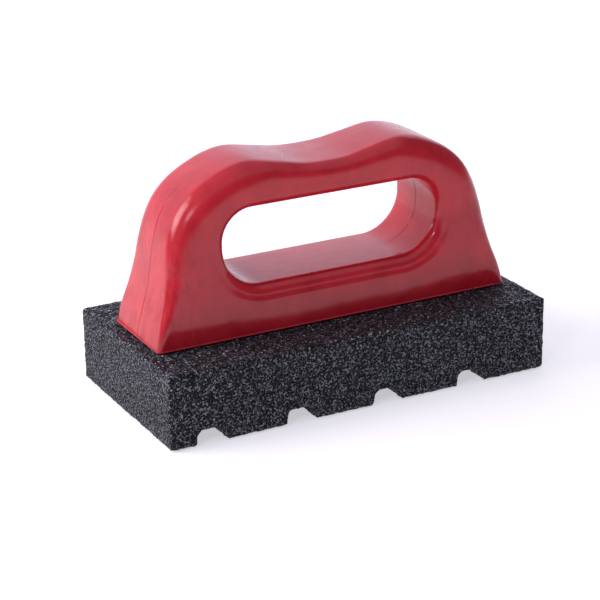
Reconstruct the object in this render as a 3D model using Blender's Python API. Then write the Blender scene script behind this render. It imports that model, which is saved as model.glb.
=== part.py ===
"""Rubbing brick with a closed handle.

A coarse abrasive brick with four cross flutes in its working face, and a hollow two-part D handle
on top. Two bolts rise from counterbores in the working face into nuts trapped in the handle.
Units are metres. The origin is the middle of the working face: +X along the brick, +Z up.
"""

import math

import bmesh
import bpy
from mathutils import Matrix, Vector

# Gap kept between neighbouring pieces
GAP = 0.0003

# Abrasive brick
BRICK_LENGTH = 0.2038
BRICK_WIDTH = 0.1020
BRICK_HEIGHT = 0.0375
BRICK_EDGE_RADIUS = 0.0018
FLUTE_COUNT = 4
FLUTE_PITCH = 0.0466
FIRST_FLUTE_X = -0.0802
FLUTE_WIDTH = 0.0157
FLUTE_DEPTH = 0.0073
FLUTE_DRAFT = 0.0008
FLUTE_CORNER_RADIUS = 0.0026

# Handle outline in the XZ plane, right half, from the foot corner up to the middle of the grip
CROWN_Z = 0.1204
FOOT_HALF_LENGTH = 0.0947
OUTLINE_KNOTS = (
    (FOOT_HALF_LENGTH, BRICK_HEIGHT),
    (0.0921, 0.0481),
    (0.0886, 0.0590),
    (0.0862, 0.0701),
    (0.0845, 0.0813),
    (0.0815, 0.0920),
    (0.0766, 0.1014),
    (0.0687, 0.1093),
    (0.0588, 0.1151),
    (0.0487, 0.1190),
    (0.0385, CROWN_Z),
    (0.0250, 0.1183),
    (0.0120, 0.1158),
    (0.0, 0.1152),
)
ARCH_STEPS = 66
FOOT_STEPS = 14
FOOT_OVERRUN = 0.0090

# How far the grip stands to the left of the foot
LEAN = 0.0013

# Hand hole, a rectangle with rounder corners below than above
HOLE_HALF_LENGTH = 0.0575
HOLE_BOTTOM = 0.0610
HOLE_TOP = 0.0990
HOLE_UPPER_RADIUS = 0.0150
HOLE_LOWER_RADIUS = 0.0200
HOLE_EDGE_RADIUS = 0.0070

# Half thickness of the handle: wide at the foot, slimmer from the grip's lower edge up.
# The face slopes in evenly in the middle; at the ends it rises straight first.
FOOT_HALF_WIDTH = 0.0246
GRIP_HALF_WIDTH = 0.0225
MIDDLE_FLARE_TOP = 0.0700
END_FLARE_START = 0.0450
END_FLARE_TOP = 0.0850
FLARE_BLEND_START = 0.0300
FLARE_BLEND_END = 0.0800

# Rounding of the handle's outer edge, tight at the foot and generous on the grip.
# The stretch makes it reach further down the face than across the rim.
FOOT_EDGE_RADIUS = 0.0020
GRIP_EDGE_RADIUS = 0.0105
ROUNDING_START = 0.0300
ROUNDING_END = 0.1050
EDGE_STRETCH = 1.15
RIM_SHARE = 0.45
HOLE_SHARE = 0.38

WALL = 0.0030
FLOOR = 0.0030
SEAM_OVERRUN = 0.0010

# Facets across the handle's skin and its cavity
SKIN_FILLET_STEPS = 5
SKIN_FACE_STEPS = 3
CAVITY_FILLET_STEPS = 2
CAVITY_FACE_STEPS = 2

# Locating pegs across the seam
PEG_PLACES = ((-0.0700, 0.0880), (0.0700, 0.0880), (0.0, 0.1073), (0.0, 0.0495))
PEG_RADIUS = 0.0020
PEG_LENGTH = 0.0040
PEG_BOSS_RADIUS = 0.0042

# M8 fasteners
BOLT_X = 0.0800
BOLT_RADIUS = 0.0040
BOLT_LENGTH = 0.0450
BOLT_HEAD_HEIGHT = 0.0053
BOLT_TIP_CHAMFER = 0.0008
BOLT_TIP_ROOM = 0.0015
HEX_ACROSS_FLATS = 0.0130
HEX_CHAMFER = 0.0009
HEX_CHAMFER_ANGLE = math.radians(30)
NUT_HEIGHT = 0.0065
NUT_BOTTOM = 0.0480
WASHER_RADIUS = 0.0080
WASHER_BORE_RADIUS = 0.0043
STEEL_WASHER_THICKNESS = 0.0016
CUSHION_WASHER_THICKNESS = 0.0010
BOLT_HOLE_RADIUS = 0.0045
COUNTERBORE_RADIUS = 0.0095
COUNTERBORE_DEPTH = 0.0155
NUT_BOSS_RADIUS = 0.0105
NUT_BOSS_TOP = 0.0620

ROUND_SEGMENTS = 32
SMALL_SEGMENTS = 20
BEVEL_SEGMENTS = 3
FLUTE_SEGMENTS = 4
CUTTER_OVERRUN = 0.0030
SHARP_ANGLE = math.radians(35)
MERGE_DISTANCE = 0.00002

SEAM_Y = GAP / 2
FOOT_Z = BRICK_HEIGHT + GAP
CUSHION_TOP = COUNTERBORE_DEPTH - GAP
WASHER_TOP = CUSHION_TOP - CUSHION_WASHER_THICKNESS - GAP
HEAD_TOP = WASHER_TOP - STEEL_WASHER_THICKNESS - GAP
BOLT_TIP = HEAD_TOP + BOLT_LENGTH


def new_collection(name):
    """Return a new collection linked to the scene."""
    group = bpy.data.collections.new(name)
    bpy.context.scene.collection.children.link(group)
    return group


def clear_scene():
    """Remove every object that the scene starts with."""
    for obj in list(bpy.data.objects):
        bpy.data.objects.remove(obj, do_unlink=True)


def make_material(name, colour, roughness, metallic=0.0):
    """Return a Principled material of one colour."""
    material = bpy.data.materials.new(name)
    material.use_nodes = True
    shader = material.node_tree.nodes["Principled BSDF"]
    shader.inputs["Base Color"].default_value = (*colour, 1.0)
    shader.inputs["Roughness"].default_value = roughness
    shader.inputs["Metallic"].default_value = metallic
    return material


def add_object(name, shape, group, material=None):
    """Turn a bmesh into an object with outward faces in the given collection."""
    bmesh.ops.remove_doubles(shape, verts=shape.verts, dist=MERGE_DISTANCE)
    bmesh.ops.recalc_face_normals(shape, faces=shape.faces)
    mesh = bpy.data.meshes.new(name)
    shape.to_mesh(mesh)
    shape.free()
    obj = bpy.data.objects.new(name, mesh)
    group.objects.link(obj)
    if material:
        mesh.materials.append(material)
    return obj


def add_cutter(name, shape, group):
    """Make an object that only cuts or joins other objects."""
    cutter = add_object(name, shape, group)
    cutter.hide_render = True
    cutter.display_type = "WIRE"
    return cutter


def combine(obj, other, operation="DIFFERENCE"):
    """Cut one object with another, or join them."""
    modifier = obj.modifiers.new(other.name, "BOOLEAN")
    modifier.operation = operation
    modifier.solver = "EXACT"
    modifier.object = other


def smooth(obj):
    """Shade a round piece smooth, keeping its real edges sharp."""
    obj.data.shade_smooth()
    obj.data.set_sharp_from_angle(angle=SHARP_ANGLE)


def box_shape(low, high):
    """Return a box between two corners."""
    shape = bmesh.new()
    size = Vector(high) - Vector(low)
    middle = (Vector(high) + Vector(low)) / 2
    placing = Matrix.Translation(middle) @ Matrix.Diagonal((*size, 1.0))
    bmesh.ops.create_cube(shape, size=1.0, matrix=placing)
    return shape


def prism_shape(radius, bottom, top, place, segments=ROUND_SEGMENTS, turn=0.0):
    """Return an upright cylinder or prism at an (x, y) place."""
    shape = bmesh.new()
    middle = Vector((place[0], place[1], (bottom + top) / 2))
    placing = Matrix.Translation(middle) @ Matrix.Rotation(turn, 4, "Z")
    bmesh.ops.create_cone(
        shape,
        cap_ends=True,
        segments=segments,
        radius1=radius,
        radius2=radius,
        depth=top - bottom,
        matrix=placing,
    )
    return shape


def cross_rod_shape(radius, start_y, end_y, place):
    """Return a cylinder along Y at an (x, z) place, with no corner straight above its axis."""
    shape = bmesh.new()
    middle = Vector((place[0], (start_y + end_y) / 2, place[1]))
    half_facet = Matrix.Rotation(math.pi / SMALL_SEGMENTS, 4, "Z")
    placing = Matrix.Translation(middle) @ Matrix.Rotation(math.pi / 2, 4, "X") @ half_facet
    bmesh.ops.create_cone(
        shape,
        cap_ends=True,
        segments=SMALL_SEGMENTS,
        radius1=radius,
        radius2=radius,
        depth=abs(end_y - start_y),
        matrix=placing,
    )
    return shape


def turned_shape(profile, place_x, segments=ROUND_SEGMENTS):
    """Spin a closed (radius, z) profile about an upright axis at x."""
    shape = bmesh.new()
    corners = [shape.verts.new((place_x + radius, 0.0, z)) for radius, z in profile]
    edges = [shape.edges.new((a, b)) for a, b in zip(corners, corners[1:] + corners[:1])]
    bmesh.ops.spin(
        shape,
        geom=corners + edges,
        cent=(place_x, 0.0, 0.0),
        axis=(0.0, 0.0, 1.0),
        angle=2 * math.pi,
        steps=segments,
    )
    return shape


# ---------------------------------------------------------------- abrasive brick

def flute_cutter(index, group):
    """Make the cutter of one flute: a slot across the brick with drafted sides."""
    middle = FIRST_FLUTE_X + index * FLUTE_PITCH
    half_mouth = FLUTE_WIDTH / 2
    half_floor = half_mouth - FLUTE_DRAFT
    reach = BRICK_WIDTH / 2 + CUTTER_OVERRUN
    shape = bmesh.new()
    corners = (
        (middle - half_mouth, -FLUTE_DEPTH),
        (middle + half_mouth, -FLUTE_DEPTH),
        (middle + half_mouth, 0.0),
        (middle + half_floor, FLUTE_DEPTH),
        (middle - half_floor, FLUTE_DEPTH),
        (middle - half_mouth, 0.0),
    )
    face = shape.faces.new([shape.verts.new((x, -reach, z)) for x, z in corners])
    grown = bmesh.ops.extrude_face_region(shape, geom=[face])
    moved = [item for item in grown["geom"] if isinstance(item, bmesh.types.BMVert)]
    bmesh.ops.translate(shape, verts=moved, vec=(0.0, 2 * reach, 0.0))
    floor_edges = [
        edge
        for edge in shape.edges
        if all(abs(vert.co.z - FLUTE_DEPTH) < MERGE_DISTANCE for vert in edge.verts)
        and abs(edge.verts[0].co.x - edge.verts[1].co.x) < MERGE_DISTANCE
    ]
    bmesh.ops.bevel(
        shape,
        geom=floor_edges,
        offset=FLUTE_CORNER_RADIUS,
        offset_type="OFFSET",
        segments=FLUTE_SEGMENTS,
        profile=0.5,
        affect="EDGES",
    )
    return add_cutter(f"flute_cutter_{index}", shape, group)


def make_brick(parts, cutters):
    """Make the abrasive brick with its flutes and bolt holes."""
    low = (-BRICK_LENGTH / 2, -BRICK_WIDTH / 2, 0.0)
    high = (BRICK_LENGTH / 2, BRICK_WIDTH / 2, BRICK_HEIGHT)
    shape = box_shape(low, high)
    bmesh.ops.bevel(
        shape,
        geom=list(shape.edges),
        offset=BRICK_EDGE_RADIUS,
        offset_type="OFFSET",
        segments=BEVEL_SEGMENTS,
        profile=0.5,
        affect="EDGES",
    )
    stone = make_material("silicon_carbide", (0.02, 0.02, 0.021), 0.85)
    brick = add_object("abrasive_brick", shape, parts, stone)
    for index in range(FLUTE_COUNT):
        combine(brick, flute_cutter(index, cutters))
    for side in (-1, 1):
        place = (side * BOLT_X, 0.0)
        bore = prism_shape(COUNTERBORE_RADIUS, -CUTTER_OVERRUN, COUNTERBORE_DEPTH, place)
        combine(brick, add_cutter(f"counterbore_{side}", bore, cutters))
        hole = prism_shape(BOLT_HOLE_RADIUS, COUNTERBORE_DEPTH / 2, BRICK_HEIGHT + CUTTER_OVERRUN, place)
        combine(brick, add_cutter(f"brick_hole_{side}", hole, cutters))
    return brick


# ---------------------------------------------------------------- handle halves

def ease(value, start, end):
    """Return 0 before start, 1 after end, and a smooth rise between them."""
    t = min(1.0, max(0.0, (value - start) / (end - start)))
    return t * t * (3 - 2 * t)


def arch_knots():
    """Return the knots of the whole arch, right foot to left, leaning a little to the left."""
    left = [(-x, z) for x, z in reversed(OUTLINE_KNOTS[:-1])]
    height = CROWN_Z - BRICK_HEIGHT
    return [(x - LEAN * (z - BRICK_HEIGHT) / height, z) for x, z in (*OUTLINE_KNOTS, *left)]


def curve_through(knots, steps, phase):
    """Return points and unit normals along a Catmull-Rom curve through (x, z) knots.

    The curve runs straight on at both ends. A phase of a half puts the points between the steps.
    """
    points = [Vector(knot) for knot in knots]
    points = [2 * points[0] - points[1], *points, 2 * points[-1] - points[-2]]
    spans = len(knots) - 1
    result = []
    for step in range(steps if phase else steps + 1):
        place = (step + phase) * spans / steps
        index = min(int(place), spans - 1)
        t = place - index
        a, b, c, d = points[index:index + 4]
        spot = 0.5 * (2 * b + (c - a) * t + (2 * a - 5 * b + 4 * c - d) * t**2
                      + (3 * b - a - 3 * c + d) * t**3)
        slope = 0.5 * ((c - a) + 2 * (2 * a - 5 * b + 4 * c - d) * t
                       + 3 * (3 * b - a - 3 * c + d) * t**2)
        result.append((spot, Vector((slope.y, -slope.x)).normalized()))
    return result


def foot_corner(end, beside):
    """Return the outline's corner below the foot, straight on from the leg above it."""
    corner = end[0] + (end[0] - beside[0]).normalized() * FOOT_OVERRUN
    return corner, (end[1] + Vector((0.0, -1.0))).normalized()


def handle_outline(phase):
    """Return the closed outline as (point, outward normal) pairs, counter-clockwise.

    It runs on below the foot, where a flat cut finishes it.
    """
    arch = curve_through(arch_knots(), ARCH_STEPS, phase)
    right = foot_corner(arch[0], arch[1])
    left = foot_corner(arch[-1], arch[-2])
    foot = []
    for step in range(0 if phase else 1, FOOT_STEPS):
        spot = left[0].lerp(right[0], (step + phase) / FOOT_STEPS)
        foot.append((spot, Vector((0.0, -1.0))))
    return [*arch, left, *foot, right]


def nearest_on_hole(point, growth):
    """Return the point of the hand hole's outline nearest to a point outside it."""
    upper = HOLE_TOP - HOLE_UPPER_RADIUS
    lower = HOLE_BOTTOM + HOLE_LOWER_RADIUS
    above = point.y >= (upper + lower) / 2
    radius = HOLE_UPPER_RADIUS if above else HOLE_LOWER_RADIUS
    reach = HOLE_HALF_LENGTH - radius
    across = math.copysign(min(abs(point.x), reach), point.x)
    centre = Vector((across, upper if above else lower))
    return centre + (point - centre).normalized() * (radius + growth)


def half_width(x, z):
    """Return the handle's half thickness at a place on its face."""
    middle = 1 - min(1.0, max(0.0, (z - BRICK_HEIGHT) / (MIDDLE_FLARE_TOP - BRICK_HEIGHT)))
    end = 1 - ease(z, END_FLARE_START, END_FLARE_TOP)
    outward = ease(abs(x), FLARE_BLEND_START, FLARE_BLEND_END)
    flare = middle + (end - middle) * outward
    return GRIP_HALF_WIDTH + (FOOT_HALF_WIDTH - GRIP_HALF_WIDTH) * flare


def edge_radius(z):
    """Return the rounding of the outer edge at a height."""
    blend = ease(z, ROUNDING_START, ROUNDING_END)
    return FOOT_EDGE_RADIUS + (GRIP_EDGE_RADIUS - FOOT_EDGE_RADIUS) * blend


def section(point, normal, inset, fillet_steps, face_steps, seam):
    """Return one cross-section of the handle as (x, y, z) points, from rim to hand hole."""
    outer = point - normal * inset
    hole = nearest_on_hole(point, inset)
    toward_rim = (point - hole).normalized()
    span = (point - nearest_on_hole(point, 0.0)).length
    rim_radius = max(min(edge_radius(point.y), span * RIM_SHARE) - inset, WALL / 3)
    rim_reach = EDGE_STRETCH * rim_radius
    hole_radius = max(min(HOLE_EDGE_RADIUS, span * HOLE_SHARE) - inset, WALL / 3)

    def skin(spot, sink):
        return Vector((spot.x, half_width(spot.x, spot.y) - inset - sink, spot.y))

    row = [Vector((outer.x, seam, outer.y))]
    for step in range(fillet_steps + 1):
        turn = math.pi / 2 * step / fillet_steps
        spot = outer - normal * rim_reach * (1 - math.cos(turn))
        row.append(skin(spot, rim_radius * (1 - math.sin(turn))))
    first = outer - normal * rim_reach
    last = hole + toward_rim * hole_radius
    for step in range(1, face_steps):
        row.append(skin(first.lerp(last, step / face_steps), 0.0))
    for step in range(fillet_steps + 1):
        turn = math.pi / 2 * (1 - step / fillet_steps)
        spot = hole + toward_rim * hole_radius * (1 - math.cos(turn))
        row.append(skin(spot, hole_radius * (1 - math.sin(turn))))
    row.append(Vector((hole.x, seam, hole.y)))
    return row


def ring_shape(side, inset, fillet_steps, face_steps, seam, phase):
    """Loft the handle's cross-sections right round the hand hole."""
    shape = bmesh.new()
    rows = []
    for point, normal in handle_outline(phase):
        row = section(point, normal, inset, fillet_steps, face_steps, seam)
        rows.append([shape.verts.new((p.x, side * p.y, p.z)) for p in row])
    for row, following in zip(rows, rows[1:] + rows[:1]):
        for index in range(len(row)):
            after = (index + 1) % len(row)
            shape.faces.new((row[index], row[after], following[after], following[index]))
    return shape


def handle_cavity(label, side, cutters):
    """Make the hollow of one half, with the nut bosses and peg bosses left standing in it."""
    hollow = ring_shape(side, WALL, CAVITY_FILLET_STEPS, CAVITY_FACE_STEPS, -SEAM_OVERRUN, 0.5)
    cavity = add_cutter(f"{label}_cavity", hollow, cutters)
    reach = FOOT_HALF_LENGTH + FOOT_OVERRUN
    below = box_shape((-reach, -reach, 0.0), (reach, reach, FOOT_Z + FLOOR))
    combine(cavity, add_cutter(f"{label}_floor_keeper", below, cutters))
    for end in (-1, 1):
        boss = prism_shape(NUT_BOSS_RADIUS, 0.0, NUT_BOSS_TOP, (end * BOLT_X, 0.0))
        combine(cavity, add_cutter(f"{label}_nut_boss_{end}", boss, cutters))
    for number, place in enumerate(PEG_PLACES):
        boss = cross_rod_shape(PEG_BOSS_RADIUS, -side * PEG_LENGTH, side * FOOT_HALF_WIDTH, place)
        combine(cavity, add_cutter(f"{label}_peg_boss_{number}", boss, cutters))
    return cavity


def make_handle_half(label, side, plastic, parts, cutters):
    """Make one moulded half of the handle, hollow and open at the seam."""
    skin = ring_shape(side, 0.0, SKIN_FILLET_STEPS, SKIN_FACE_STEPS, SEAM_Y, 0.0)
    half = add_object(f"handle_{label}_half", skin, parts, plastic)
    reach = FOOT_HALF_LENGTH + FOOT_OVERRUN
    below = box_shape((-reach, -reach, 0.0), (reach, reach, FOOT_Z))
    combine(half, add_cutter(f"{label}_foot_cut", below, cutters))
    combine(half, handle_cavity(label, side, cutters))
    pocket_radius = (HEX_ACROSS_FLATS / 2 + GAP) / math.cos(math.pi / 6)
    for end in (-1, 1):
        place = (end * BOLT_X, 0.0)
        pocket = prism_shape(
            pocket_radius,
            NUT_BOTTOM - GAP,
            NUT_BOTTOM + NUT_HEIGHT + GAP,
            place,
            segments=6,
        )
        combine(half, add_cutter(f"{label}_nut_pocket_{end}", pocket, cutters))
        hole = prism_shape(BOLT_HOLE_RADIUS, 0.0, BOLT_TIP + BOLT_TIP_ROOM, place)
        combine(half, add_cutter(f"{label}_bolt_hole_{end}", hole, cutters))
    smooth(half)
    return half


def add_pegs(half, side, cutters):
    """Join the locating pegs to a half: they cross the seam into the other one."""
    for number, place in enumerate(PEG_PLACES):
        peg = cross_rod_shape(PEG_RADIUS, side * PEG_LENGTH, -side * PEG_LENGTH, place)
        combine(half, add_cutter(f"peg_{number}", peg, cutters), "UNION")


def add_sockets(half, side, cutters):
    """Cut the sockets that take the other half's pegs."""
    depth = PEG_LENGTH + GAP * 2
    for number, place in enumerate(PEG_PLACES):
        socket = cross_rod_shape(PEG_RADIUS + GAP, -side * SEAM_OVERRUN, side * depth, place)
        combine(half, add_cutter(f"peg_socket_{number}", socket, cutters))


def make_handle(parts, cutters):
    """Make the two moulded halves, the front one with pegs and the rear one with sockets."""
    plastic = make_material("red_moulded_plastic", (0.55, 0.012, 0.02), 0.16)
    front = make_handle_half("front", -1, plastic, parts, cutters)
    add_pegs(front, -1, cutters)
    rear = make_handle_half("rear", 1, plastic, parts, cutters)
    add_sockets(rear, 1, cutters)


# ---------------------------------------------------------------- fasteners

def hex_shape(bottom, top, place):
    """Return an upright hexagonal prism."""
    radius = HEX_ACROSS_FLATS / 2 / math.cos(math.pi / 6)
    return prism_shape(radius, bottom, top, place, segments=6)


def round_off_corners(obj, name, bottom, top, place_x, cutters):
    """Keep only what lies inside a chamfered disc, which turns a hexagon's corners down."""
    outer = HEX_ACROSS_FLATS / 2 / math.cos(math.pi / 6) + GAP
    inner = outer - HEX_CHAMFER - GAP
    drop = HEX_CHAMFER * math.tan(HEX_CHAMFER_ANGLE)
    profile = (
        (inner, bottom),
        (outer, bottom + drop),
        (outer, top - drop),
        (inner, top),
    )
    disc = bmesh.new()
    middle = [disc.verts.new((place_x, 0.0, z)) for z in (bottom, top)]
    rings = []
    for radius, z in profile:
        ring = []
        for index in range(ROUND_SEGMENTS):
            turn = 2 * math.pi * index / ROUND_SEGMENTS
            ring.append(disc.verts.new((
                place_x + radius * math.cos(turn),
                radius * math.sin(turn),
                z,
            )))
        rings.append(ring)
    for index in range(ROUND_SEGMENTS):
        after = (index + 1) % ROUND_SEGMENTS
        disc.faces.new((middle[0], rings[0][after], rings[0][index]))
        disc.faces.new((middle[1], rings[-1][index], rings[-1][after]))
        for low, high in zip(rings, rings[1:]):
            disc.faces.new((low[index], low[after], high[after], high[index]))
    combine(obj, add_cutter(name, disc, cutters), "INTERSECT")


def make_bolt(label, x, steel, parts, cutters):
    """Make a hex head bolt, head down, with a plain shank and a chamfered tip."""
    head = hex_shape(HEAD_TOP - BOLT_HEAD_HEIGHT, HEAD_TOP, (x, 0.0))
    bolt = add_object(f"handle_bolt_{label}", head, parts, steel)
    round_off_corners(
        bolt, f"head_disc_{label}", HEAD_TOP - BOLT_HEAD_HEIGHT, HEAD_TOP + GAP, x, cutters
    )
    shank = prism_shape(BOLT_RADIUS, HEAD_TOP - BOLT_HEAD_HEIGHT / 2, BOLT_TIP, (x, 0.0))
    tip = [edge for edge in shank.edges if all(v.co.z > BOLT_TIP - GAP for v in edge.verts)]
    bmesh.ops.bevel(
        shank,
        geom=tip,
        offset=BOLT_TIP_CHAMFER,
        offset_type="OFFSET",
        segments=1,
        affect="EDGES",
    )
    combine(bolt, add_cutter(f"shank_{label}", shank, cutters), "UNION")
    smooth(bolt)


def make_nut(label, x, steel, parts, cutters):
    """Make the hex nut that the two handle halves trap."""
    top = NUT_BOTTOM + NUT_HEIGHT
    nut = add_object(f"captive_nut_{label}", hex_shape(NUT_BOTTOM, top, (x, 0.0)), parts, steel)
    round_off_corners(nut, f"nut_disc_{label}", NUT_BOTTOM, top, x, cutters)
    bore = prism_shape(WASHER_BORE_RADIUS, 0.0, BOLT_TIP, (x, 0.0))
    combine(nut, add_cutter(f"nut_bore_{label}", bore, cutters))
    smooth(nut)


def make_washer(name, x, top, thickness, material, parts):
    """Make a flat washer whose upper face is at the given height."""
    profile = (
        (WASHER_BORE_RADIUS, top),
        (WASHER_RADIUS, top),
        (WASHER_RADIUS, top - thickness),
        (WASHER_BORE_RADIUS, top - thickness),
    )
    smooth(add_object(name, turned_shape(profile, x), parts, material))


def make_fasteners(parts, cutters):
    """Make the bolt, washers and nut at each end."""
    steel = make_material("zinc_plated_steel", (0.62, 0.62, 0.60), 0.35, 1.0)
    fibre = make_material("vulcanised_fibre", (0.25, 0.09, 0.05), 0.7)
    for label, x in (("left", -BOLT_X), ("right", BOLT_X)):
        make_washer(
            f"cushion_washer_{label}", x, CUSHION_TOP, CUSHION_WASHER_THICKNESS, fibre, parts
        )
        make_washer(f"bolt_washer_{label}", x, WASHER_TOP, STEEL_WASHER_THICKNESS, steel, parts)
        make_bolt(label, x, steel, parts, cutters)
        make_nut(label, x, steel, parts, cutters)


def main():
    clear_scene()
    parts = new_collection("rubbing_brick")
    cutters = new_collection("cutters")
    make_brick(parts, cutters)
    make_handle(parts, cutters)
    make_fasteners(parts, cutters)


main()
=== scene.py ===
"""Looks of the rubbing brick: the moulded handle's fine skin, the open grain of the stone, light.

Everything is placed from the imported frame. Units are metres, +X along the brick, +Z up.
"""

import math

import bmesh
import bpy
import numpy as np
from mathutils import Matrix, Vector


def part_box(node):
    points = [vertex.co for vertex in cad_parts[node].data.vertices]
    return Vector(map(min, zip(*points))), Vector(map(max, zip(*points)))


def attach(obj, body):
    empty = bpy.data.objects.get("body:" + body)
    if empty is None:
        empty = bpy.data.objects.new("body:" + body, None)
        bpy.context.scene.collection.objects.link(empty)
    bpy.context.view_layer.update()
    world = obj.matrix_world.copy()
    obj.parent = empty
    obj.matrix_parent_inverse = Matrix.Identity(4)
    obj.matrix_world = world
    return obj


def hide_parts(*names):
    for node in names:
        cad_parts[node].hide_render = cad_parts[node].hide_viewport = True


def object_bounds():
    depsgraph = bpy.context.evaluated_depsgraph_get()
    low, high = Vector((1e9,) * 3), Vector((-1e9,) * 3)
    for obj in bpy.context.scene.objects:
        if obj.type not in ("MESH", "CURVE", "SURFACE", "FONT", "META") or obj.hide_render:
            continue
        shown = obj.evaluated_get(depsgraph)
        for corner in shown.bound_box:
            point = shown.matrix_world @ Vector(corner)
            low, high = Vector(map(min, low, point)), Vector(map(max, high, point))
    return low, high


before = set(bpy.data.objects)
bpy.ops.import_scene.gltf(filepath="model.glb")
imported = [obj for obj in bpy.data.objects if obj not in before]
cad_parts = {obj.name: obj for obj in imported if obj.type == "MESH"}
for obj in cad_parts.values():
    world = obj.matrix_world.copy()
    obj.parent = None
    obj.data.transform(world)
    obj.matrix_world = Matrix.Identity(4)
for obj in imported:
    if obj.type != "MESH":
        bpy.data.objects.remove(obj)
CAD_LOW, CAD_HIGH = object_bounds()

BODY = "root"

# Camera: the direction it looks from, its distance, what it looks at, and its lens
VIEW_AZIMUTH = math.radians(-27.77)
VIEW_ELEVATION = math.radians(21.06)
VIEW_ROLL = math.radians(-0.71)
VIEW_DISTANCE = 1.0469
VIEW_TARGET = Vector((-0.00766, 0.0, 0.04002))
SENSOR_WIDTH = 36.0
FOCAL_LENGTH = 129.0

# Handle outline in the XZ plane, right half, from the foot corner to the middle of the grip
BRICK_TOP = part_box("abrasive_brick")[1].z
FOOT_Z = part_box("handle_front_half")[0].z
CROWN_Z = 0.12038
FOOT_HALF_LENGTH = 0.0947
OUTLINE_KNOTS = (
    (FOOT_HALF_LENGTH, BRICK_TOP),
    (0.0921, 0.0481),
    (0.0886, 0.0590),
    (0.0862, 0.0701),
    (0.0845, 0.0813),
    (0.0815, 0.0920),
    (0.0766, 0.1014),
    (0.0687, 0.1093),
    (0.0588, 0.1151),
    (0.0487, 0.1190),
    (0.0385, CROWN_Z),
    (0.0250, 0.1183),
    (0.0120, 0.1158),
    (0.0, 0.1152),
)
LEAN = 0.0013
FOOT_OVERRUN = 0.0090
HOLE_HALF_LENGTH = 0.0575
HOLE_BOTTOM = 0.0610
HOLE_TOP = 0.0990
HOLE_UPPER_RADIUS = 0.0150
HOLE_LOWER_RADIUS = 0.0200
FOOT_HALF_WIDTH = 0.0246
GRIP_HALF_WIDTH = 0.0225
FOOT_EDGE_RADIUS = 0.0020
GRIP_EDGE_RADIUS = 0.0105
ROUNDING_START = 0.0300
ROUNDING_END = 0.1050
EDGE_STRETCH = 1.15
WALL = 0.0030
LEAST_RADIUS = WALL / 3

# How much of the face the rim's rounding may take; less at the front of the grip's middle
RIM_SHARE = 0.55
FRONT_GRIP_SHARE = 0.38
GRIP_SHARE_START = 0.0300
GRIP_SHARE_END = 0.0550


def link(obj):
    """Put an object in the scene."""
    bpy.context.scene.collection.objects.link(obj)
    return obj


def mesh_object(name, points, faces):
    """Return an object made from points and faces."""
    mesh = bpy.data.meshes.new(name)
    mesh.from_pydata([tuple(p) for p in points], [], [tuple(int(i) for i in f) for f in faces])
    mesh.validate()
    return link(bpy.data.objects.new(name, mesh))


def bmesh_object(name, shape):
    """Return an object made from a bmesh, with its faces pointing out."""
    bmesh.ops.recalc_face_normals(shape, faces=shape.faces)
    mesh = bpy.data.meshes.new(name)
    shape.to_mesh(mesh)
    shape.free()
    return link(bpy.data.objects.new(name, mesh))


def apply_modifiers(obj):
    """Make an object's mesh what its modifiers give."""
    graph = bpy.context.evaluated_depsgraph_get()
    mesh = bpy.data.meshes.new_from_object(obj.evaluated_get(graph))
    obj.modifiers.clear()
    old = obj.data
    obj.data = mesh
    bpy.data.meshes.remove(old)


def combine(obj, other, operation="DIFFERENCE"):
    """Cut an object with another, or join them, and drop the other one."""
    modifier = obj.modifiers.new("combine", "BOOLEAN")
    modifier.operation = operation
    modifier.solver = "MANIFOLD"
    modifier.object = other
    apply_modifiers(obj)
    bpy.data.objects.remove(other, do_unlink=True)


# ---------------------------------------------------------------- handle shape

def curve_through(knots, steps, phase):
    """Return points and unit normals along a Catmull-Rom curve through (x, z) knots."""
    points = [Vector(knot) for knot in knots]
    points = [2 * points[0] - points[1], *points, 2 * points[-1] - points[-2]]
    spans = len(knots) - 1
    result = []
    for step in range(steps if phase else steps + 1):
        place = (step + phase) * spans / steps
        index = min(int(place), spans - 1)
        t = place - index
        a, b, c, d = points[index:index + 4]
        spot = 0.5 * (2 * b + (c - a) * t + (2 * a - 5 * b + 4 * c - d) * t**2
                      + (3 * b - a - 3 * c + d) * t**3)
        slope = 0.5 * ((c - a) + 2 * (2 * a - 5 * b + 4 * c - d) * t
                       + 3 * (3 * b - a - 3 * c + d) * t**2)
        result.append((spot, Vector((slope.y, -slope.x)).normalized()))
    return result


def arch_knots():
    """Return the knots of the whole arch, right foot to left, leaning a little to the left."""
    left = [(-x, z) for x, z in reversed(OUTLINE_KNOTS[:-1])]
    height = CROWN_Z - BRICK_TOP
    return [(x - LEAN * (z - BRICK_TOP) / height, z) for x, z in (*OUTLINE_KNOTS, *left)]


def foot_corner(end, beside):
    """Return the outline's corner below the foot, straight on from the leg above it."""
    corner = end[0] + (end[0] - beside[0]).normalized() * FOOT_OVERRUN
    return corner, (end[1] + Vector((0.0, -1.0))).normalized()


def handle_outline(steps, foot_steps, phase):
    """Return the closed outline as (point, outward normal) pairs, counter-clockwise."""
    arch = curve_through(arch_knots(), steps, phase)
    right = foot_corner(arch[0], arch[1])
    left = foot_corner(arch[-1], arch[-2])
    foot = []
    for step in range(1 if not phase else 0, foot_steps):
        spot = left[0].lerp(right[0], (step + phase) / foot_steps)
        foot.append((spot, Vector((0.0, -1.0))))
    return [*arch, left, *foot, right]


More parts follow.
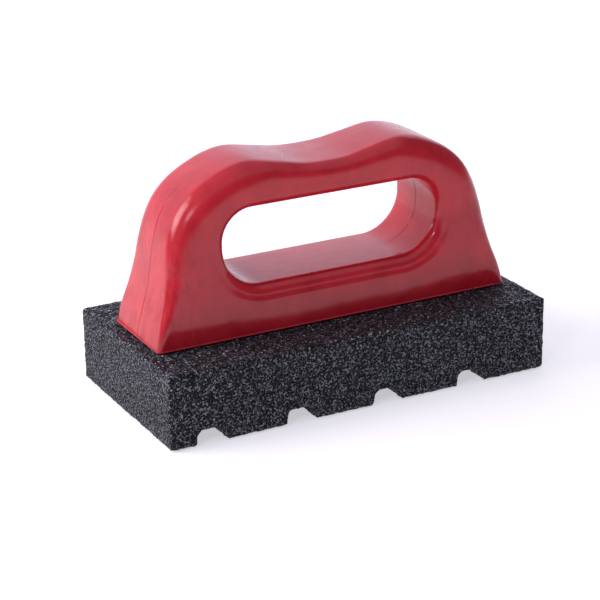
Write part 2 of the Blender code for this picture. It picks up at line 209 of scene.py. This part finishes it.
def nearest_on_hole(point, growth=0.0):
    """Return the point of the hand hole's outline nearest to a point outside it."""
    upper = HOLE_TOP - HOLE_UPPER_RADIUS
    lower = HOLE_BOTTOM + HOLE_LOWER_RADIUS
    above = point.y >= (upper + lower) / 2
    radius = HOLE_UPPER_RADIUS if above else HOLE_LOWER_RADIUS
    reach = HOLE_HALF_LENGTH - radius
    across = math.copysign(min(abs(point.x), reach), point.x)
    centre = Vector((across, upper if above else lower))
    return centre + (point - centre).normalized() * (radius + growth)


def ease(value, start, end):
    """Return 0 before start, 1 after end, and a smooth rise between them."""
    t = min(1.0, max(0.0, (value - start) / (end - start)))
    return t * t * (3 - 2 * t)


def edge_radius(z):
    """Return the rounding of the outer edge at a height."""
    blend = ease(z, ROUNDING_START, ROUNDING_END)
    return FOOT_EDGE_RADIUS + (GRIP_EDGE_RADIUS - FOOT_EDGE_RADIUS) * blend


# The face slopes in evenly in the middle; at the ends it rises straight first
MIDDLE_FLARE_TOP = 0.0700
END_FLARE_START = 0.0450
END_FLARE_TOP = 0.0850
FLARE_BLEND_START = 0.0300
FLARE_BLEND_END = 0.0800

# The face dips towards the hand hole and ends in a shallow step round it
DISH_DEPTH = 0.0006
DISH_REACH = 0.0075
STEP_DEPTH = 0.0004
STEP_INNER = 0.0054
STEP_OUTER = 0.0076
STEP_FADE_START = 0.0800
STEP_FADE_END = 0.0980
HOLE_EDGE_RADIUS = 0.0046

# The seam shows on the ends and fades over the crown and the bar
SEAM_BEVEL = 0.00026
SEAM_BEVEL_LEAST = 0.00001
SEAM_FADE_START = 0.1050
SEAM_FADE_END = 0.1130
SEAM_FADE_INNER = 0.0380
SEAM_FADE_OUTER = 0.0520


def half_width(x, z):
    """Return the handle's half thickness before the dip round the hand hole."""
    middle = 1 - min(1.0, max(0.0, (z - BRICK_TOP) / (MIDDLE_FLARE_TOP - BRICK_TOP)))
    end = 1 - ease(z, END_FLARE_START, END_FLARE_TOP)
    outward = ease(abs(x), FLARE_BLEND_START, FLARE_BLEND_END)
    flare = middle + (end - middle) * outward
    return GRIP_HALF_WIDTH + (FOOT_HALF_WIDTH - GRIP_HALF_WIDTH) * flare


def dip(distance, z):
    """Return how far the face lies below its full width at a distance from the hand hole."""
    dish = DISH_DEPTH * math.exp(-(distance / DISH_REACH) ** 2)
    share = 1 - ease(z, STEP_FADE_START, STEP_FADE_END)
    step = STEP_DEPTH * share * (1 - ease(distance, STEP_INNER, STEP_OUTER))
    return dish + step


def seam_bevel_at(spot):
    """Return the seam's bevel at a place: plain on the ends, fading on the crown and the bar."""
    height = 1 - ease(spot.y, SEAM_FADE_START, SEAM_FADE_END)
    return SEAM_BEVEL_LEAST + (SEAM_BEVEL - SEAM_BEVEL_LEAST) * height * ease(
        abs(spot.x), SEAM_FADE_INNER, SEAM_FADE_OUTER
    )


def rim_share(x, side):
    """Return how much of the face the rim's rounding may take: less at the front of the grip."""
    if side > 0:
        return RIM_SHARE
    outward = ease(abs(x), GRIP_SHARE_START, GRIP_SHARE_END)
    return FRONT_GRIP_SHARE + (RIM_SHARE - FRONT_GRIP_SHARE) * outward


def section(point, normal, inset, fillet_steps, face_steps, seam, share):
    """Return one cross-section of the handle as (x, y, z) points, from rim to hand hole."""
    outer = point - normal * inset
    hole = nearest_on_hole(point, inset)
    true_hole = nearest_on_hole(point)
    toward_rim = (point - hole).normalized()
    span = (point - true_hole).length
    rim_radius = max(min(edge_radius(point.y), span * share) - inset, LEAST_RADIUS)
    rim_reach = EDGE_STRETCH * rim_radius
    hole_radius = max(HOLE_EDGE_RADIUS - inset, LEAST_RADIUS)

    def skin(spot, sink):
        reach = dip((spot - true_hole).length, spot.y)
        return (spot.x, half_width(spot.x, spot.y) - reach - inset - sink, spot.y)

    row = []
    if not inset:
        bevel = seam_bevel_at(outer)
        lifted = outer - normal * bevel
        row.append((lifted.x, seam, lifted.y))
        row.append((outer.x, seam + bevel, outer.y))
    else:
        row.append((outer.x, seam, outer.y))
    for step in range(fillet_steps + 1):
        turn = math.pi / 2 * step / fillet_steps
        spot = outer - normal * rim_reach * (1 - math.cos(turn))
        row.append(skin(spot, rim_radius * (1 - math.sin(turn))))
    first = outer - normal * rim_reach
    last = hole + toward_rim * hole_radius
    for step in range(1, face_steps):
        row.append(skin(first.lerp(last, step / face_steps), 0.0))
    for step in range(fillet_steps + 1):
        turn = math.pi / 2 * (1 - step / fillet_steps)
        spot = hole + toward_rim * hole_radius * (1 - math.cos(turn))
        row.append(skin(spot, hole_radius * (1 - math.sin(turn))))
    if not inset:
        bevel = seam_bevel_at(hole)
        row.append((hole.x, seam + bevel, hole.y))
        lifted = hole + toward_rim * bevel
        row.append((lifted.x, seam, lifted.y))
    else:
        row.append((hole.x, seam, hole.y))
    return row


def ring_object(name, side, outline, inset, fillet_steps, face_steps, seam):
    """Loft the handle's cross-sections right round the hand hole."""
    points = []
    for point, normal in outline:
        share = rim_share(point.x, side)
        row = section(point, normal, inset, fillet_steps, face_steps, seam, share)
        points += [(x, side * y, z) for x, y, z in row]
    width = len(points) // len(outline)
    faces = []
    for line in range(len(outline)):
        here = line * width
        there = (line + 1) % len(outline) * width
        for index in range(width):
            after = (index + 1) % width
            corners = (here + index, here + after, there + after, there + index)
            faces.append(corners if side < 0 else corners[::-1])
    return mesh_object(name, points, faces)


def box_object(low, high):
    """Return a box between two corners."""
    shape = bmesh.new()
    low = Vector(low)
    high = Vector(high)
    placing = Matrix.Translation((low + high) / 2) @ Matrix.Diagonal((*(high - low), 1.0))
    bmesh.ops.create_cube(shape, size=1.0, matrix=placing)
    return bmesh_object("box", shape)


def rod_object(radius, start, end, segments, turn=0.0):
    """Return a cylinder or prism between two points."""
    shape = bmesh.new()
    start = Vector(start)
    end = Vector(end)
    axis = (end - start).normalized().to_track_quat("Z", "Y").to_matrix().to_4x4()
    placing = Matrix.Translation((start + end) / 2) @ axis @ Matrix.Rotation(turn, 4, "Z")
    bmesh.ops.create_cone(
        shape,
        cap_ends=True,
        segments=segments,
        radius1=radius,
        radius2=radius,
        depth=(end - start).length,
        matrix=placing,
    )
    return bmesh_object("rod", shape)


SKIN_STEPS = 440
SKIN_FOOT_STEPS = 70
SKIN_FILLET_STEPS = 10
SKIN_FACE_STEPS = 30
CAVITY_STEPS = 132
CAVITY_FOOT_STEPS = 14
CAVITY_FILLET_STEPS = 3
CAVITY_FACE_STEPS = 8
SEAM_GAP = 0.00003
SEAM_OVERRUN = 0.0010
FLOOR = 0.0030
ROUND_SEGMENTS = 48
SHARP_ANGLE = math.radians(40)
BOLT_LOW, BOLT_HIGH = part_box("handle_bolt_right")
BOLT_X = (BOLT_LOW.x + BOLT_HIGH.x) / 2
BOLT_TIP = BOLT_HIGH.z
NUT_LOW, NUT_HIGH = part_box("captive_nut_right")
NUT_BOSS_RADIUS = 0.0105
NUT_BOSS_TOP = 0.0620
BOLT_HOLE_RADIUS = 0.0045
PEG_PLACES = ((-0.0700, 0.0880), (0.0700, 0.0880), (0.0, 0.1073), (0.0, 0.0495))
PEG_RADIUS = 0.0020
PEG_LENGTH = 0.0038
PEG_CLEARANCE = 0.0003
PEG_BOSS_RADIUS = 0.0042
LIP_RADIUS = 0.00045
LIP_SEGMENTS = 12
LIP_STEPS = 24


def foot_path():
    """Return the foot's outline in plan for one half, from the left seam round to the right."""
    low = FOOT_Z + LIP_RADIUS
    radius = edge_radius(low)
    length = FOOT_HALF_LENGTH - LIP_RADIUS / 2
    width = half_width(0.0, low)
    corner = Vector((length - radius, width - radius))
    right = [Vector((length, SEAM_GAP / 2)), Vector((length, corner.y / 2))]
    for step in range(LIP_STEPS + 1):
        turn = math.pi / 2 * step / LIP_STEPS
        right.append(corner + radius * Vector((math.cos(turn), math.sin(turn))))
    straight = 2 * LIP_STEPS
    for step in range(1, straight):
        right.append(Vector((corner.x * (1 - step / straight), width)))
    left = [Vector((-p.x, p.y)) for p in reversed(right)]
    return [*right, Vector((0.0, width)), *left]


def lip_object(side):
    """Return the thin bead of plastic that runs round the foot of one half."""
    path = foot_path()
    points = []
    for index, place in enumerate(path):
        before = path[max(index - 1, 0)]
        after = path[min(index + 1, len(path) - 1)]
        along = (after - before).normalized()
        out = Vector((along.y, -along.x))
        for step in range(LIP_SEGMENTS):
            turn = 2 * math.pi * step / LIP_SEGMENTS
            spot = place + out * LIP_RADIUS * math.cos(turn)
            points.append((spot.x, side * spot.y, FOOT_Z + LIP_RADIUS * (1 + math.sin(turn))))
    faces = []
    for line in range(len(path) - 1):
        for step in range(LIP_SEGMENTS):
            after = (step + 1) % LIP_SEGMENTS
            here = line * LIP_SEGMENTS
            there = here + LIP_SEGMENTS
            faces.append((here + step, here + after, there + after, there + step))
    faces.append(tuple(range(LIP_SEGMENTS)))
    faces.append(tuple(range(len(points) - 1, len(points) - 1 - LIP_SEGMENTS, -1)))
    lip = mesh_object("lip", points, faces)
    shape = bmesh.new()
    shape.from_mesh(lip.data)
    bmesh.ops.recalc_face_normals(shape, faces=shape.faces)
    shape.to_mesh(lip.data)
    shape.free()
    return lip


def cavity_object(side):
    """Return the hollow of one half, with its bosses left standing."""
    outline = handle_outline(CAVITY_STEPS, CAVITY_FOOT_STEPS, 0.5)
    cavity = ring_object(
        "cavity", side, outline, WALL, CAVITY_FILLET_STEPS, CAVITY_FACE_STEPS, -SEAM_OVERRUN
    )
    reach = FOOT_HALF_LENGTH + FOOT_OVERRUN
    combine(cavity, box_object((-reach, -reach, 0.0), (reach, reach, FOOT_Z + FLOOR)))
    for end in (-BOLT_X, BOLT_X):
        boss = rod_object(NUT_BOSS_RADIUS, (end, 0.0, 0.0), (end, 0.0, NUT_BOSS_TOP), ROUND_SEGMENTS)
        combine(cavity, boss)
    for x, z in PEG_PLACES:
        start = (x, -side * PEG_LENGTH, z)
        end = (x, side * FOOT_HALF_WIDTH, z)
        combine(cavity, rod_object(PEG_BOSS_RADIUS, start, end, ROUND_SEGMENTS))
    return cavity


def make_handle_half(name, node, side):
    """Make the fine moulded shell of one half of the handle."""
    outline = handle_outline(SKIN_STEPS, SKIN_FOOT_STEPS, 0.0)
    half = ring_object(
        name, side, outline, 0.0, SKIN_FILLET_STEPS, SKIN_FACE_STEPS, SEAM_GAP / 2
    )
    reach = FOOT_HALF_LENGTH + FOOT_OVERRUN
    combine(half, box_object((-reach, -reach, 0.0), (reach, reach, FOOT_Z)))
    combine(half, lip_object(side), "UNION")
    combine(half, cavity_object(side))
    pocket_radius = (NUT_HIGH.x - NUT_LOW.x) / 2 / math.cos(math.pi / 6)
    for end in (-BOLT_X, BOLT_X):
        pocket = rod_object(pocket_radius, (end, 0.0, NUT_LOW.z), (end, 0.0, NUT_HIGH.z), 6)
        combine(half, pocket)
        hole = rod_object(BOLT_HOLE_RADIUS, (end, 0.0, 0.0), (end, 0.0, BOLT_TIP), ROUND_SEGMENTS)
        combine(half, hole)
    for x, z in PEG_PLACES:
        if side < 0:
            peg = rod_object(PEG_RADIUS, (x, -PEG_LENGTH, z), (x, PEG_LENGTH, z), ROUND_SEGMENTS)
            combine(half, peg, "UNION")
        else:
            depth = PEG_LENGTH + PEG_CLEARANCE
            radius = PEG_RADIUS + PEG_CLEARANCE
            combine(half, rod_object(radius, (x, -depth, z), (x, depth, z), ROUND_SEGMENTS))
    half.data.shade_smooth()
    half.data.set_sharp_from_angle(angle=SHARP_ANGLE)
    half.data.materials.clear()
    half.data.materials.append(MOULDED_RED)
    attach(half, BODY)
    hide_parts(node)
    return half


# ---------------------------------------------------------------- stone shape

GRAIN_VOXEL = 0.00088
GRAIN_SIZE = 0.0019
GRAIN_DEPTH = 0.0006
GRAIN_SEED = 11
PIT_SHARE = 0.55
PIT_STEEPNESS = 1.3
CHIP_SIZE = 0.0060
CHIP_DEPTH = 0.0005
CHIP_SEED = 29
EDGE_STEEPNESS = 4
HASH_FACTORS = np.array([73856093, 19349663, 83492791], dtype=np.int64)
HASH_RANGE = 1 << 20
HASH_MIXER = 1274126177
SEED_STEP = 7919
TONE_SEED_STEP = 5
FAR = 9.0


def cell_random(cells, seed):
    """Return one number from 0 to 1 for each whole-number cell."""
    mixed = (cells * HASH_FACTORS).sum(axis=-1) + seed * SEED_STEP
    mixed = (mixed ^ (mixed >> 13)) * HASH_MIXER
    mixed = (mixed ^ (mixed >> 16)) & (HASH_RANGE - 1)
    return mixed / HASH_RANGE


def cellular(points, size, seed):
    """Return each point's distance to its nearest grain centre, in grains, and that grain's number."""
    scaled = points / size
    base = np.floor(scaled).astype(np.int64)
    nearest = np.full(len(points), FAR)
    value = np.zeros(len(points))
    offsets = np.array([(i, j, k) for i in (-1, 0, 1) for j in (-1, 0, 1) for k in (-1, 0, 1)])
    for offset in offsets:
        cells = base + offset
        jitter = np.stack([cell_random(cells, seed + axis) for axis in range(3)], axis=-1)
        distance = np.linalg.norm(cells + jitter - scaled, axis=1)
        closer = distance < nearest
        nearest[closer] = distance[closer]
        value[closer] = cell_random(cells, seed + TONE_SEED_STEP)[closer]
    return nearest, value


def make_stone():
    """Make the abrasive brick with open grain and ragged edges, inside the CAD brick's surface."""
    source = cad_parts["abrasive_brick"]
    mesh = source.data.copy()
    stone = link(bpy.data.objects.new("abrasive_stone", mesh))
    remesh = stone.modifiers.new("remesh", "REMESH")
    remesh.mode = "VOXEL"
    remesh.voxel_size = GRAIN_VOXEL
    apply_modifiers(stone)
    mesh = stone.data
    count = len(mesh.vertices)
    places = np.empty(count * 3)
    mesh.vertices.foreach_get("co", places)
    places = places.reshape(-1, 3)
    normals = np.empty(count * 3)
    mesh.vertices.foreach_get("normal", normals)
    normals = normals.reshape(-1, 3)
    distance, level = cellular(places, GRAIN_SIZE, GRAIN_SEED)
    _, chip = cellular(places, CHIP_SIZE, CHIP_SEED)
    pit = np.clip(distance * PIT_STEEPNESS, 0.0, 1.0)
    depth = GRAIN_DEPTH * (PIT_SHARE * pit + (1 - PIT_SHARE) * level)
    edge = 1 - np.abs(normals).max(axis=1)
    ragged = np.clip(edge * EDGE_STEEPNESS, 0.0, 1.0) * np.clip(chip * 2 - 1, 0.0, 1.0)
    depth += CHIP_DEPTH * ragged
    places -= normals * depth[:, None]
    mesh.vertices.foreach_set("co", places.ravel())
    mesh.update()
    mesh.shade_smooth()
    mesh.materials.clear()
    mesh.materials.append(BONDED_GRAIN)
    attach(stone, BODY)
    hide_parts("abrasive_brick")
    return stone


# ---------------------------------------------------------------- materials

class Shading:
    """A Principled material under construction, with short calls for its nodes."""

    def __init__(self, name):
        self.material = bpy.data.materials.new(name)
        self.material.use_nodes = True
        self.tree = self.material.node_tree
        self.shader = self.tree.nodes["Principled BSDF"]
        self.place = self.node("ShaderNodeTexCoord").outputs["Object"]

    def node(self, kind, **settings):
        made = self.tree.nodes.new(kind)
        for key, value in settings.items():
            setattr(made, key, value)
        return made

    def join(self, source, target):
        self.tree.links.new(source, target)

    def fill(self, target, value):
        """Link a socket, or set its value."""
        if isinstance(value, bpy.types.NodeSocket):
            self.join(value, target)
        else:
            target.default_value = value

    def noise(self, scale, detail=3.0, roughness=0.5, stretch=None):
        made = self.node("ShaderNodeTexNoise")
        made.inputs["Scale"].default_value = scale
        made.inputs["Detail"].default_value = detail
        made.inputs["Roughness"].default_value = roughness
        place = self.place
        if stretch:
            mapping = self.node("ShaderNodeMapping")
            mapping.inputs["Scale"].default_value = stretch
            self.join(self.place, mapping.inputs["Vector"])
            place = mapping.outputs["Vector"]
        self.join(place, made.inputs["Vector"])
        return made.outputs["Fac"]

    def voronoi(self, scale, feature="F1"):
        made = self.node("ShaderNodeTexVoronoi", feature=feature)
        made.inputs["Scale"].default_value = scale
        self.join(self.place, made.inputs["Vector"])
        return made

    def math(self, operation, first, second=0.0, third=None):
        made = self.node("ShaderNodeMath", operation=operation)
        self.fill(made.inputs[0], first)
        self.fill(made.inputs[1], second)
        if third is not None:
            self.fill(made.inputs[2], third)
        return made.outputs[0]

    def ranged(self, value, low, high, to_low, to_high):
        made = self.node("ShaderNodeMapRange")
        self.join(value, made.inputs["Value"])
        made.inputs["From Min"].default_value = low
        made.inputs["From Max"].default_value = high
        made.inputs["To Min"].default_value = to_low
        made.inputs["To Max"].default_value = to_high
        return made.outputs["Result"]

    def ramp(self, value, stops):
        made = self.node("ShaderNodeValToRGB")
        self.join(value, made.inputs["Fac"])
        band = made.color_ramp
        while len(band.elements) < len(stops):
            band.elements.new(0.5)
        for element, (where, colour) in zip(band.elements, stops):
            element.position = where
            element.color = (*colour, 1.0)
        return made.outputs["Color"]

    def mix(self, factor, first, second, blend="MIX"):
        made = self.node("ShaderNodeMix", data_type="RGBA", blend_type=blend)
        self.fill(made.inputs["Factor"], factor)
        for socket, value in ((made.inputs[6], first), (made.inputs[7], second)):
            if isinstance(value, tuple):
                socket.default_value = (*value, 1.0)
            else:
                self.join(value, socket)
        return made.outputs[2]

    def bump(self, height, distance, strength=1.0, before=None):
        made = self.node("ShaderNodeBump")
        made.inputs["Distance"].default_value = distance
        self.fill(made.inputs["Strength"], strength)
        self.join(height, made.inputs["Height"])
        if before:
            self.join(before, made.inputs["Normal"])
        return made.outputs["Normal"]

    def set(self, **values):
        """Set or link the shader's sockets, named with underscores for spaces."""
        for key, value in values.items():
            self.fill(self.shader.inputs[key.replace("_", " ")], value)


def moulded_red():
    """Glossy injection-moulded red plastic with orange peel, mottling and light scuffs."""
    look = Shading("moulded_red")
    mottle = look.noise(60.0, 4.0, 0.6)
    base = look.ramp(mottle, (
        (0.30, (0.43, 0.009, 0.020)),
        (0.70, (0.57, 0.019, 0.032)),
    ))
    where = look.node("ShaderNodeSeparateXYZ")
    look.join(look.place, where.inputs["Vector"])
    handled = look.ranged(where.outputs["Z"], 0.070, 0.098, 0.0, 1.0)
    outer = look.ranged(look.math("ABSOLUTE", where.outputs["X"]), 0.068, 0.080, 0.25, 1.0)
    scuffs = look.noise(900.0, 6.0, 0.7, stretch=(1.0, 1.0, 0.12))
    worn = look.ranged(scuffs, 0.60, 0.80, 0.0, 0.25)
    base = look.mix(worn, base, (0.72, 0.12, 0.12))
    patches = look.noise(130.0, 6.0, 0.75, stretch=(1.0, 1.0, 0.45))
    blotch = look.math("MULTIPLY", look.ranged(patches, 0.45, 0.62, 0.0, 0.8), outer)
    base = look.mix(blotch, base, (0.34, 0.003, 0.010))
    peel = look.noise(2300.0, 2.0, 0.5)
    wave = look.noise(90.0, 2.0, 0.5)
    normal = look.bump(peel, 0.00005, look.ranged(handled, 0.0, 1.0, 0.25, 0.9))
    normal = look.bump(wave, 0.0006, 0.30, normal)
    rough = look.ranged(look.noise(350.0, 4.0, 0.6), 0.3, 0.7, 0.11, 0.19)
    rough = look.math("ADD", rough, look.math("MULTIPLY", handled, 0.05))
    rough = look.math("ADD", rough, look.math("MULTIPLY", blotch, 0.05))
    look.set(Base_Color=base, Roughness=rough, Normal=normal, IOR=1.48)
    return look.material


def bonded_grain():
    """Coarse black silicon carbide grit: dark pores, grey-blue facets, a few bright crystals, and more
    of them on the top face as painted glints.
    """
    look = Shading("bonded_grain")
    coarse = look.voronoi(1000.0)
    pick = look.node("ShaderNodeSeparateColor")
    look.join(coarse.outputs["Color"], pick.inputs["Color"])
    lump = look.noise(1250.0, 1.5, 0.5)
    body = look.math("SUBTRACT", lump, look.math("MULTIPLY", coarse.outputs["Distance"], 0.22))
    grain = look.ranged(body, 0.39, 0.43, 0.0, 1.0)
    lift = look.ranged(pick.outputs["Red"], 0.0, 1.0, 0.15, 1.5)
    tone = look.math("MULTIPLY", grain, lift)
    colour = look.ramp(tone, (
        (0.05, (0.0003, 0.0003, 0.0004)),
        (0.45, (0.006, 0.007, 0.010)),
        (1.00, (0.132, 0.145, 0.176)),
    ))
    where = look.node("ShaderNodeSeparateXYZ")
    look.join(look.place, where.inputs["Vector"])
    # Bright crystals, partly real and partly painted glints: more than three times as thick on the top
    # face, as a painted highlight for the top's sparkle
    upper = look.ranged(where.outputs["Z"], BRICK_TOP - 0.0015, BRICK_TOP - 0.0008, 0.30, 1.0)
    crystal_and_glint = look.math("MULTIPLY", look.ranged(pick.outputs["Blue"], 0.93, 0.95, 0.0, 1.0), grain)
    crystal_and_glint = look.math("MULTIPLY", crystal_and_glint, upper)
    colour = look.mix(crystal_and_glint, colour, (0.50, 0.47, 0.49))
    rough = look.ranged(pick.outputs["Green"], 0.0, 1.0, 0.20, 0.60)
    rough = look.math("MAXIMUM", rough, look.ranged(grain, 0.0, 1.0, 0.95, 0.2))
    tilt = look.node("ShaderNodeVectorMath", operation="SUBTRACT")
    look.join(look.place, tilt.inputs[0])
    look.join(coarse.outputs["Position"], tilt.inputs[1])
    facet = look.node("ShaderNodeVectorMath", operation="DOT_PRODUCT")
    centred = look.node("ShaderNodeVectorMath", operation="SUBTRACT")
    look.join(coarse.outputs["Color"], centred.inputs[0])
    centred.inputs[1].default_value = (0.5, 0.5, 0.5)
    look.join(tilt.outputs[0], facet.inputs[0])
    look.join(centred.outputs[0], facet.inputs[1])
    normal = look.bump(facet.outputs["Value"], 1.0, 1.0)
    normal = look.bump(grain, 0.00035, 0.9, normal)
    look.set(Base_Color=colour, Roughness=rough, Normal=normal, IOR=1.42)
    return look.material


def zinc_steel():
    """Zinc plated steel, faintly turned and spotted."""
    look = Shading("zinc_steel")
    cloud = look.noise(400.0, 5.0, 0.6)
    base = look.ramp(cloud, (
        (0.3, (0.50, 0.50, 0.47)),
        (0.7, (0.70, 0.70, 0.67)),
    ))
    rough = look.ranged(look.noise(1500.0, 3.0), 0.3, 0.7, 0.25, 0.42)
    normal = look.bump(look.noise(2600.0, 2.0), 0.00003, 0.5)
    look.set(Base_Color=base, Roughness=rough, Normal=normal, Metallic=1.0)
    return look.material


def red_fibre():
    """Vulcanised fibre: brown-red, matte, with a felted grain."""
    look = Shading("red_fibre")
    base = look.ramp(look.noise(1800.0, 6.0, 0.7), (
        (0.3, (0.17, 0.055, 0.030)),
        (0.7, (0.30, 0.11, 0.06)),
    ))
    normal = look.bump(look.noise(2400.0, 4.0), 0.00004, 0.6)
    look.set(Base_Color=base, Roughness=0.75, Normal=normal)
    return look.material


def pale_floor():
    """Plain white studio floor, lit a little from below so that shadows stay faint."""
    look = Shading("pale_floor")
    look.set(Base_Color=(0.70, 0.70, 0.70, 1.0), Roughness=0.9, Specular_IOR_Level=0.0)
    look.set(Emission_Color=(0.97, 0.95, 1.0, 1.0), Emission_Strength=0.55)
    return look.material


MOULDED_RED = moulded_red()
BONDED_GRAIN = bonded_grain()
ZINC_STEEL = zinc_steel()
RED_FIBRE = red_fibre()


def dress_fasteners():
    """Give the bolts, nuts and washers their finish."""
    for end in ("left", "right"):
        for node in ("handle_bolt_", "bolt_washer_", "captive_nut_"):
            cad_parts[node + end].material_slots[0].material = ZINC_STEEL
        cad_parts["cushion_washer_" + end].material_slots[0].material = RED_FIBRE


# ---------------------------------------------------------------- studio

FLOOR_REACH = 6.0
FLOOR_GAP = 0.0002
WORLD_COLOUR = (0.86, 0.84, 1.0, 1.0)
WORLD_STRENGTH = 0.17
LIGHT_TINT = (0.87, 0.84, 1.0)
KEY_TINT = (0.98, 0.90, 0.94)


def make_floor():
    """Lay a plain pale floor under the brick."""
    shape = bmesh.new()
    bmesh.ops.create_grid(shape, x_segments=1, y_segments=1, size=FLOOR_REACH)
    floor = bmesh_object("studio_floor", shape)
    floor.location.z = CAD_LOW.z - FLOOR_GAP
    floor.data.materials.append(pale_floor())


def area_light(name, place, target, size, power, colour):
    """Hang a soft rectangular light that faces a point."""
    data = bpy.data.lights.new(name, "AREA")
    data.shape = "RECTANGLE"
    data.size, data.size_y = size
    data.energy = power
    data.color = colour
    lamp = link(bpy.data.objects.new(name, data))
    lamp.location = place
    away = Vector(target) - Vector(place)
    lamp.rotation_euler = away.to_track_quat("-Z", "Y").to_euler()


def make_lights():
    """Hang a soft key and a box on the left, boxes behind and above, and a small lamp in front."""
    middle = (CAD_LOW + CAD_HIGH) / 2
    area_light("key_left", (-1.25, 0.45, 0.80), middle, (0.9, 0.9), 20.0, KEY_TINT)
    area_light("left_box", (-1.35, -0.40, 0.35), middle, (1.1, 0.8), 1.1, KEY_TINT)
    area_light("back_box", (0.1, 1.55, 0.80), middle, (4.2, 1.9), 28.0, LIGHT_TINT)
    area_light("front_lamp", (-0.92, -0.74, 0.79), middle, (0.12, 0.24), 2.1, LIGHT_TINT)
    area_light("top_box", (0.0, -0.3, 1.6), middle, (2.4, 2.4), 10.5, LIGHT_TINT)
    world = bpy.data.worlds.new("studio")
    bpy.context.scene.world = world
    world.use_nodes = True
    background = world.node_tree.nodes["Background"]
    background.inputs["Color"].default_value = WORLD_COLOUR
    background.inputs["Strength"].default_value = WORLD_STRENGTH


def make_camera():
    """Place the camera at the fitted direction and distance."""
    a, e, roll = VIEW_AZIMUTH, VIEW_ELEVATION, VIEW_ROLL
    back = Vector((math.sin(a) * math.cos(e), -math.cos(a) * math.cos(e), math.sin(e)))
    level = (-back).cross(Vector((0.0, 0.0, 1.0))).normalized()
    upward = level.cross(-back)
    right = math.cos(roll) * level + math.sin(roll) * upward
    up = math.cos(roll) * upward - math.sin(roll) * level
    data = bpy.data.cameras.new("camera")
    data.sensor_width = SENSOR_WIDTH
    data.lens = FOCAL_LENGTH
    camera = link(bpy.data.objects.new("camera", data))
    turn = Matrix((right, up, back)).transposed().to_4x4()
    camera.matrix_world = Matrix.Translation(VIEW_TARGET + back * VIEW_DISTANCE) @ turn
    bpy.context.scene.camera = camera


make_handle_half("handle_front_shell", "handle_front_half", -1)
make_handle_half("handle_rear_shell", "handle_rear_half", 1)
make_stone()
dress_fasteners()
make_floor()
make_lights()
make_camera()
bpy.context.scene.view_settings.view_transform = "Standard"
